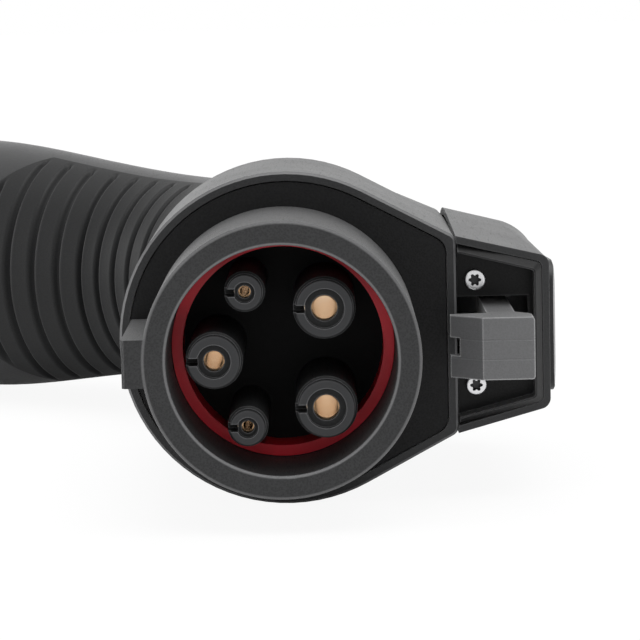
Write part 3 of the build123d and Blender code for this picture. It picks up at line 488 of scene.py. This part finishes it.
# %% [markdown]
# ## Metals
#
# Turned and stamped metal shows fine tool lines and a patchy polish.  A metal's colour
# is its reflection, so the recipe sets Metallic to 1 and lets noise drive roughness.


# %% The metal finish
METAL_DRIFT, METAL_DRIFT_MM, METAL_NOISE, METAL_SWING = 0.25, 3.0, 0.9, 0.2


def metal(name, colour, roughness, line_mm, depth_mm):
    """A worked metal: drifting tone, fine lines as bump and a patchy polish."""
    material, tree, shader = new_finish(name)
    shader.inputs["Metallic"].default_value = 1.0
    tone = place_group(
        tree, tone_group, Color=(*colour, 1), Amount=METAL_DRIFT, Size=METAL_DRIFT_MM
    )
    grain = place_group(tree, grain_group, Cell_Size=line_mm, Noise_Share=METAL_NOISE)
    rough = drifting(tree, tone, roughness, METAL_SWING)
    wire_finish(tree, shader, tone.outputs["Color"], rough, grain, depth_mm)
    return material


steel_finish = metal("screw_steel", (0.62, 0.62, 0.63), 0.3, 0.25, 0.004)
pin_finish = metal("pin_steel", (0.55, 0.55, 0.56), 0.25, 0.2, 0.002)
brass_finish = metal("contact_brass", (0.80, 0.64, 0.48), 0.18, 0.3, 0.002)
# Painted shade: a dark steel for the shade inside the screws' recesses.
recess_shade_finish = metal("recess_shade_steel", (0.06, 0.06, 0.062), 0.5, 0.25, 0.004)
print("plastics and metals:", len(bpy.data.materials))

# %% [markdown]
# ## Dress the solids
#
# A solid keeps its mesh; only its material slots change.


# %% Materials on the solids
FINISH = {
    "nose_shell": nose_finish,
    "seal_ring": seal_finish,
    "contact_carrier": carrier_finish,
    "contact_retainer": carrier_finish,
    "retainer_screws": steel_finish,
    "shell_right": shell_finish,
    "shell_left": shell_finish,
    "shell_screws": steel_finish,
    "grip_pad": pad_finish,
    "gland_body": gland_finish,
    "gland_seal": gland_rubber_finish,
    "gland_nut": gland_finish,
    "latch_hood": hood_finish,
    "hood_screws": steel_finish,
    "latch_tray": tray_finish,
    "tray_screws": steel_finish,
    "latch_lever": lever_finish,
    "latch_pivot_pin": pin_finish,
    "latch_spring": pin_finish,
    "thumb_button": button_finish,
    "switch_board": board_finish,
    "switch_body": switch_finish,
    "switch_plunger": plunger_finish,
    "board_resistors": resistor_finish,
}
CONTACTS = ("l1", "n", "pe", "cp", "pp")
for place_name in CONTACTS:
    FINISH["contact_" + place_name] = brass_finish
    FINISH["tower_" + place_name] = tower_finish


def dress(piece, material):
    """The piece's only material."""
    piece.data.materials.clear()
    piece.data.materials.append(material)


for node_name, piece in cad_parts.items():
    dress(piece, FINISH[node_name])
print("dressed", len(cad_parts), "solids")

# %% [markdown]
# ## The nose's two textures
#
# The barrel that goes into the vehicle has a leather grain outside, while its bore and the
# face plate behind it are smooth, and painted darker than the barrel as shade.  They are one
# moulding, so a copy of the solid carries both finishes, and each face takes the one for its place.


# %% The nose
def settle(piece, body, slot_name, material, *nodes):
    """Gives a piece its finish and body, and lets it stand for some solids; the slot name is not
    used.
    """
    dress(piece, material)
    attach(piece, body)
    if nodes:
        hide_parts(*nodes)
    print(piece.name, len(piece.data.polygons), "faces")


def copy_of(node, name):
    """A new object with its own copy of a solid's mesh."""
    piece = bpy.data.objects.new(name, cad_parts[node].data.copy())
    bpy.context.collection.objects.link(piece)
    return piece


def second_finish(piece, material, chosen):
    """Gives a second material to the faces whose centres, an (n, 3) array in mm, are chosen."""
    piece.data.materials.append(material)
    centres = np.empty(3 * len(piece.data.polygons))
    piece.data.polygons.foreach_get("center", centres)
    picked = chosen(centres.reshape(-1, 3) / MM)
    piece.data.polygons.foreach_set("material_index", picked.astype(np.int32))


BORE_FROM_Y = 0.4


def smooth_part(centre):
    """True on the face plate and all behind it, and on the barrel's bore."""
    in_bore = (np.hypot(centre[:, 0], centre[:, 2]) < BORE_R) & (centre[:, 1] > BORE_FROM_Y)
    return in_bore | (centre[:, 1] > HEAD_FRONT_Y)


grained_nose = copy_of("nose_shell", "grained_nose")
settle(grained_nose, "connector", "nose_plastic", nose_finish, "nose_shell")
second_finish(grained_nose, smooth_shaded_finish, smooth_part)

# %% [markdown]
# ## Surfaces on a grid
#
# Most fine pieces here are one closed skin: a ring of points, carried along a path.  If
# the points are worked out as whole arrays, the faces follow from the grid's shape alone.
# The two ends are closed with one face each; points that fall together are merged.


# %% A closed skin from rings of points
def ring_faces(rings, around):
    """Quads between neighbouring rings; the last point of a ring joins the first."""
    i, j = np.meshgrid(np.arange(rings - 1), np.arange(around), indexing="ij")
    here, beside = i * around + j, i * around + (j + 1) % around
    return np.stack([here, here + around, beside + around, beside], axis=-1).reshape(-1, 4)


SKIN_ANGLE = 50.0
MERGE_POINTS, MERGE_EDGES = 2e-6, 1e-6


def shade_up_to(piece, degrees):
    """Smooth shading, with edges over an angle left sharp."""
    piece.data.shade_smooth()
    piece.data.set_sharp_from_angle(angle=math.radians(degrees))


def tidy_skin(piece):
    """Merges doubled points, turns every face outwards and shades it."""
    work = bmesh.new()
    work.from_mesh(piece.data)
    bmesh.ops.remove_doubles(work, verts=work.verts, dist=MERGE_POINTS)
    bmesh.ops.dissolve_degenerate(work, edges=work.edges, dist=MERGE_EDGES)
    bmesh.ops.recalc_face_normals(work, faces=work.faces)
    work.to_mesh(piece.data)
    work.free()
    shade_up_to(piece, SKIN_ANGLE)


def closed_skin(name, rings):
    """A closed mesh from rings (n, m, 3): quads along it and a face over each end."""
    count, around, _ = rings.shape
    faces = ring_faces(count, around).tolist()
    faces.append(list(range(around)))
    faces.append(list(range((count - 1) * around, count * around))[::-1])
    piece = new_mesh(name, rings.reshape(-1, 3), faces)
    tidy_skin(piece)
    return piece


def smoothstep(value):
    """0 to 1 with level ends, from a value between 0 and 1."""
    return value * value * (3 - 2 * value)


print("grid helpers ready")

# %% [markdown]
# ## The ribbed pad
#
# The pad is soft rubber moulded over the finger side of the handle.  Its ribs are
# divided by narrow round-lipped grooves that run out before the pad's edge.  A texture
# could fake them, but they show on the outline, so the pad is a real surface: for each
# distance along the handle an ellipse arc, lifted by the pad's thickness and lowered in
# the grooves.

# %% The handle's line and width, as the shell has them
NECK_Y, BEND_R, BEND_ANGLE = 80.0, 75.0, math.radians(55.0)
BEND_LENGTH = BEND_R * BEND_ANGLE
HANDLE_T = np.array([-22.0, 8.0, 38.0, 64.0, 88.0, 108.0, 126.0, BEND_LENGTH + 75.0])
HANDLE_HALF = np.array([21.6, 20.6, 19.8, 20.4, 23.7, 26.0, 25.4, 21.5])
HANDLE_FRONT = np.array([21.0, 20.0, 18.8, 18.8, 20.4, 21.4, 20.6, 18.0])


def smooth_through(t, knots, values):
    """A natural cubic spline through the knots, evaluated at t."""
    gap = np.diff(knots)
    slope = np.diff(values) / gap
    size = len(knots)
    matrix = np.eye(size)
    right = np.zeros(size)
    inner = np.arange(1, size - 1)
    matrix[inner, inner - 1] = gap[:-1]
    matrix[inner, inner] = 2 * (gap[:-1] + gap[1:])
    matrix[inner, inner + 1] = gap[1:]
    right[1:-1] = 6 * np.diff(slope)
    bend = np.linalg.solve(matrix, right)
    k = np.clip(np.searchsorted(knots, t) - 1, 0, size - 2)
    left, h = t - knots[k], gap[k]
    lean = slope[k] - h * (2 * bend[k] + bend[k + 1]) / 6
    curve = left**2 * bend[k] / 2 + left**3 * (bend[k + 1] - bend[k]) / (6 * h)
    return values[k] + left * lean + curve


def on_handle(t, u, z):
    """Points in metres, from t along the handle, u towards its back and height z, all in mm."""
    turn = np.clip(t, 0, BEND_LENGTH) / BEND_R
    run = np.maximum(t - BEND_LENGTH, 0)
    x = -BEND_R * (1 - np.cos(turn)) - run * np.sin(turn) + u * np.cos(turn)
    y = NECK_Y + np.minimum(t, 0) + (BEND_R + u) * np.sin(turn) + run * np.cos(turn)
    return np.stack([x, y, z + 0 * x], axis=-1) * MM


print("handle line ready, bend", round(BEND_LENGTH, 1), "mm long")

# %% The pad
PAD_START, PAD_END, PAD_TIP = 20.05, 102.95, 19.0
PAD_TIP_HALF = 23.45
PAD_EDGE_U = 5.05
PAD_PROUD, PAD_SUNK, PAD_UNDER = 0.5, 0.3, -1.1
PAD_ROUND = 0.5
PAD_STEP, PAD_ACROSS = 0.22, 121
CLOSE_FROM, CLOSE_RINGS = 3, 24
RIB_FIRST, RIB_PITCH, RIB_COUNT = 27.4, 6.1, 12
GROOVE_DEPTH, GROOVE_HALF = 1.0, 0.62
LIP_RISE, LIP_HALF = 0.16, 1.1
FADE_START, FADE_END = 1.2, 4.0


def groove_height(t):
    """Sum over the grooves of a lip (wide low bell) minus a cut (narrow deep bell)."""
    away = t[..., None] - (RIB_FIRST + RIB_PITCH * np.arange(RIB_COUNT))
    lip = LIP_RISE * np.exp(-((away / LIP_HALF) ** 2))
    cut = (GROOVE_DEPTH + LIP_RISE) * np.exp(-((away / GROOVE_HALF) ** 2))
    return (lip - cut).sum(axis=-1)


def ribbed_pad():
    """Rings round the pad's section: over the top from edge to edge, then back underneath."""
    along = np.unique(np.concatenate([
        np.arange(PAD_START, PAD_END - CLOSE_FROM, PAD_STEP),
        PAD_END - CLOSE_FROM * np.sin(np.linspace(np.pi / 2, 0, CLOSE_RINGS)),
    ]))
    half = smooth_through(along, HANDLE_T, HANDLE_HALF)
    front = smooth_through(along, HANDLE_T, HANDLE_FRONT)
    tip = np.clip((along - (PAD_END - PAD_TIP)) / PAD_TIP, 0, 1)
    at_edge = half * np.sqrt(1 - (PAD_EDGE_U / front) ** 2)
    widest = np.minimum(PAD_TIP_HALF * np.sqrt(1 - tip**2), at_edge)
    reach = np.arcsin(np.clip(widest / half, 0, 1))
    across = np.linspace(-1, 1, PAD_ACROSS)
    t, w = np.meshgrid(along, across, indexing="ij")
    angle = w * reach[:, None]
    edge_gap = (1 - np.abs(w)) * reach[:, None] * half[:, None]
    end_gap = np.minimum(edge_gap, np.minimum(t - PAD_START, PAD_END - t))
    shoulder = np.sqrt(np.clip(1 - (1 - np.clip(edge_gap / PAD_ROUND, 0, 1)) ** 2, 0, 1))
    fade = smoothstep(np.clip((end_gap - FADE_START) / (FADE_END - FADE_START), 0, 1))
    top = (PAD_PROUD + PAD_SUNK) * shoulder - PAD_SUNK + fade * groove_height(t)

    def skin(lift):
        """Points over the whole pad, at a lift from the handle's surface."""
        u = -(front[:, None] + lift) * np.cos(angle)
        z = (half[:, None] + lift) * np.sin(angle)
        return on_handle(t, u, z)

    over, under = skin(top), skin(PAD_UNDER)[:, ::-1]
    return closed_skin("ribbed_pad", np.concatenate([over, under], axis=1))


settle(ribbed_pad(), "connector", "grip_rubber", pad_finish, "grip_pad")

# %% [markdown]
# ## The silver screws
#
# Two pan-head screws with a six-lobe recess hold the tray.  A boolean would cut the
# recess, but a polar grid gives it directly: the height is a function of the radius and
# the angle, with a steep wall where the radius passes the six-lobed line.

# %% The screws
TRAY_FLOOR_Y, SCREW_X, SCREW_Z = 31.0, 31.8, 8.8
HEAD_R, HEAD_RISE, HEAD_AROUND = 1.75, 1.5, 120
RIM_DROP, RIM_POWER, CROWN_DROP = 0.22, 14, 0.04
RECESS_R, RECESS_DEPTH, RECESS_WALL = 0.98, 1.25, 0.07
LOBE_MIDDLE, LOBE_SWING, LOBES = 0.86, 0.17, 6
SHANK_R, SHANK_FROM, SHANK_TO, SHANK_AROUND = 0.9, -0.2, 8.0, 48


def screw_head(z_place):
    """Height over radius r and angle a: a flat dome, dropped inside the line of the lobes."""
    a = np.linspace(0, 2 * np.pi, HEAD_AROUND, endpoint=False)
    r = np.concatenate([[1e-4], np.linspace(0.1, 1.3, 40), np.linspace(1.34, HEAD_R, 14)])
    radius, angle = np.meshgrid(r, a, indexing="ij")
    outward = radius / HEAD_R
    dome = HEAD_RISE - RIM_DROP * outward**RIM_POWER - CROWN_DROP * outward**2
    lobe = RECESS_R * (LOBE_MIDDLE + LOBE_SWING * np.cos(LOBES * angle))
    wall = np.clip((lobe - radius) / RECESS_WALL + 0.5, 0, 1)
    height = dome - RECESS_DEPTH * smoothstep(wall)
    x, z = radius * np.cos(angle), radius * np.sin(angle)
    crown = np.stack([SCREW_X + x, TRAY_FLOOR_Y - height, z_place + z], axis=-1)
    foot = crown[-1:].copy()
    foot[..., 1] = TRAY_FLOOR_Y
    return np.concatenate([crown, foot], axis=0) * MM


def screw_shank(z_place):
    """Two rings, from just outside the tray's floor to behind it."""
    a = np.linspace(0, 2 * np.pi, SHANK_AROUND, endpoint=False)
    x, z = SCREW_X + SHANK_R * np.cos(a), z_place + SHANK_R * np.sin(a)
    ends = (TRAY_FLOOR_Y + SHANK_FROM, TRAY_FLOOR_Y + SHANK_TO)
    return np.stack([np.stack([x, y + 0 * a, z], axis=-1) for y in ends]) * MM


def join_pieces(name, parts):
    """One mesh from several, with a new name; the parts are removed."""
    points, faces, start = [], [], 0
    for part in parts:
        points += [tuple(v.co) for v in part.data.vertices]
        faces += [[start + i for i in f.vertices] for f in part.data.polygons]
        start = len(points)
        bpy.data.objects.remove(part)
    piece = new_mesh(name, points, faces)
    shade_up_to(piece, SKIN_ANGLE)
    return piece


def screw_pair():
    """Both screw heads with their shanks, as one mesh."""
    parts = []
    for z_place in (-SCREW_Z, SCREW_Z):
        parts.append(closed_skin("head", screw_head(z_place)))
        parts.append(closed_skin("shank", screw_shank(z_place)))
    return join_pieces("six_lobe_screws", parts)


screws = screw_pair()
settle(screws, "connector", "screw_steel", steel_finish, "tray_screws")
RECESS_FROM_Y, RECESS_TO_Y = TRAY_FLOOR_Y - HEAD_RISE + 0.25, TRAY_FLOOR_Y - 0.1
RECESS_REACH = 1.12 * RECESS_R


def in_recess(centre):
    """True inside a screw's recess: below its face and within the six-lobed line's reach."""
    off_axis = np.hypot(centre[:, 0] - SCREW_X, np.abs(centre[:, 2]) - SCREW_Z)
    deep = (centre[:, 1] > RECESS_FROM_Y) & (centre[:, 1] < RECESS_TO_Y)
    return deep & (off_axis < RECESS_REACH)


# Painted shade: the recess faces get the dark steel, for the shade inside them.
second_finish(screws, recess_shade_finish, in_recess)

# %% [markdown]
# ## Softened edges
#
# A moulded edge is never knife sharp: it catches a thin line of light.  The solids keep
# their plain edges, so some get a copy whose triangles are merged back into flat faces
# and whose sharp edges are then rounded by a Bevel modifier.


# %% Copies with rounded edges
SHARP_ANGLE, FLAT_ANGLE = 32.0, 1.0
SOLID_MERGE, BEVEL_SEGMENTS = 5e-6, 3


def softened(node, width_mm, body, slot_name, material):
    """A copy of a solid, made of flat faces again, with a live bevel on its sharp edges."""
    piece = copy_of(node, node + "_soft")
    work = bmesh.new()
    work.from_mesh(piece.data)
    bmesh.ops.remove_doubles(work, verts=work.verts, dist=SOLID_MERGE)
    bmesh.ops.dissolve_limit(
        work,
        angle_limit=math.radians(FLAT_ANGLE),
        verts=work.verts,
        edges=work.edges,
        delimit={"NORMAL"},
    )
    work.to_mesh(piece.data)
    work.free()
    shade_up_to(piece, SHARP_ANGLE)
    bevel = piece.modifiers.new("round", "BEVEL")
    bevel.width = width_mm * MM
    bevel.segments = BEVEL_SEGMENTS
    bevel.limit_method = "ANGLE"
    bevel.angle_limit = math.radians(SHARP_ANGLE)
    bevel.use_clamp_overlap = True
    bevel.harden_normals = True
    settle(piece, body, slot_name, material, node)


softened("latch_hood", 0.12, "connector", "shell_plastic", hood_finish)
softened("latch_lever", 0.15, "latch", "lever_plastic", lever_finish)
for place_name in CONTACTS:
    softened("tower_" + place_name, 0.12, "connector", "carrier_plastic", tower_finish)
softened("latch_tray", 0.08, "connector", "tray_plastic", tray_finish)

# %% [markdown]
# ## The spring
#
# The latch's return spring stands on the head and carries the lever's rear end.  When the
# lever rocks, the spring gets shorter.  Its copy here is a little wider than the solid,
# which leaves room for the lever's peg when it tilts inside the coil.

# %% The spring
SPRING_FOOT = (0.0286, 0.064, 0.0)
SPRING_WIDER = 1.17
coil = copy_of("latch_spring", "coil_spring")
coil_points = np.empty(3 * len(coil.data.vertices))
coil.data.vertices.foreach_get("co", coil_points)
coil_points = coil_points.reshape(-1, 3)
stretch = np.array([1.0, SPRING_WIDER, SPRING_WIDER])
coil_points = SPRING_FOOT + (coil_points - SPRING_FOOT) * stretch
coil.data.vertices.foreach_set("co", coil_points.ravel())
settle(coil, "connector", "spring_steel", pin_finish, "latch_spring")
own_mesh(coil)

# %% [markdown]
# ## Light and background
#
# One large soft lamp above and a little to the front gives the bright upper edges, and a
# weaker one lights the left side; the white world fills the rest.  The world is plain
# white to the eye and in reflections, and weaker as light, so that a colour renders about
# as it is written.

# %% World, floor finish and lamps
world = bpy.data.worlds.new("studio")
bpy.context.scene.world = world
world.use_nodes = True
sky = world.node_tree
back = sky.nodes["Background"]
back.inputs["Color"].default_value = (1, 1, 1, 1)
FILL_STRENGTH = 0.55
path = add_node(sky, "ShaderNodeLightPath")
seen = math_node(sky, "ADD", path.outputs["Is Camera Ray"], path.outputs["Is Glossy Ray"])
seen = math_node(sky, "ADD", seen, path.outputs["Is Transmission Ray"], clamp=True)
extra = math_node(sky, "MULTIPLY", seen, 1.0 - FILL_STRENGTH)
strength = math_node(sky, "ADD", extra, FILL_STRENGTH)
sky.links.new(strength, back.inputs["Strength"])

floor_finish = moulded(
    "floor_white", (0.95, 0.95, 0.95), 0.9, 4.0, 0.01, drift=0.01, specular=0.1, fleck=0.0
)
SHADOW_SHARE = 0.08
floor_tree = floor_finish.node_tree
glow = add_node(floor_tree, "ShaderNodeEmission", Color=(1, 1, 1, 1), Strength=1.0)
blend = add_node(floor_tree, "ShaderNodeMixShader")
floor_path = add_node(floor_tree, "ShaderNodeLightPath")
direct = math_node(
    floor_tree, "MULTIPLY", floor_path.outputs["Is Camera Ray"], 1 - SHADOW_SHARE
)
floor_surface = floor_tree.nodes["Material Output"].inputs["Surface"]
floor_tree.links.new(direct, blend.inputs[0])
floor_tree.links.new(floor_tree.nodes["Principled BSDF"].outputs[0], blend.inputs[1])
floor_tree.links.new(glow.outputs[0], blend.inputs[2])
floor_tree.links.new(blend.outputs[0], floor_surface)
dress(floor, floor_finish)


def soft_sun(name, towards, angle, power):
    """A distant lamp that shines along a direction, soft over an angle in degrees."""
    data = bpy.data.lights.new(name, "SUN")
    data.angle = math.radians(angle)
    data.energy = power
    lamp = bpy.data.objects.new(name, data)
    lamp.rotation_euler = Vector(towards).to_track_quat("-Z", "Y").to_euler()
    bpy.context.collection.objects.link(lamp)


soft_sun("top_lamp", (-0.12, 0.2, -1.0), 55, 2.4)
soft_sun("left_lamp", (1.0, -0.2, -0.15), 40, 0.8)

# %% [markdown]
# ## The camera
#
# A long lens from a little over 0.4 m, almost straight at the nose and some 8 degrees
# above it, rolled by a degree.

# %% The camera
CAMERA_DISTANCE = 0.435
CAMERA_AZIMUTH = math.radians(0.9)
CAMERA_ELEVATION = math.radians(7.9)
CAMERA_YAW = math.radians(0.09)
CAMERA_PITCH = math.radians(-7.07)
CAMERA_ROLL = math.radians(-1.3)
CAMERA_LENS, SENSOR_WIDTH = 157.5, 36.0
camera_data = bpy.data.cameras.new("camera")
camera_data.sensor_width = SENSOR_WIDTH
camera_data.lens = CAMERA_LENS
camera_data.clip_start = 0.01
camera_data.clip_end = 20.0
camera = bpy.data.objects.new("camera", camera_data)
flat = CAMERA_DISTANCE * math.cos(CAMERA_ELEVATION)
camera.location = (
    flat * math.sin(CAMERA_AZIMUTH),
    -flat * math.cos(CAMERA_AZIMUTH),
    CAMERA_DISTANCE * math.sin(CAMERA_ELEVATION),
)
turn = Euler((math.pi / 2 + CAMERA_PITCH, 0, CAMERA_YAW)).to_matrix()
camera.rotation_euler = (turn @ Matrix.Rotation(CAMERA_ROLL, 3, "Z")).to_euler()
bpy.context.collection.objects.link(camera)
bpy.context.scene.camera = camera
bpy.context.scene.view_settings.view_transform = "Standard"
print("camera at", [round(v, 4) for v in camera.location])
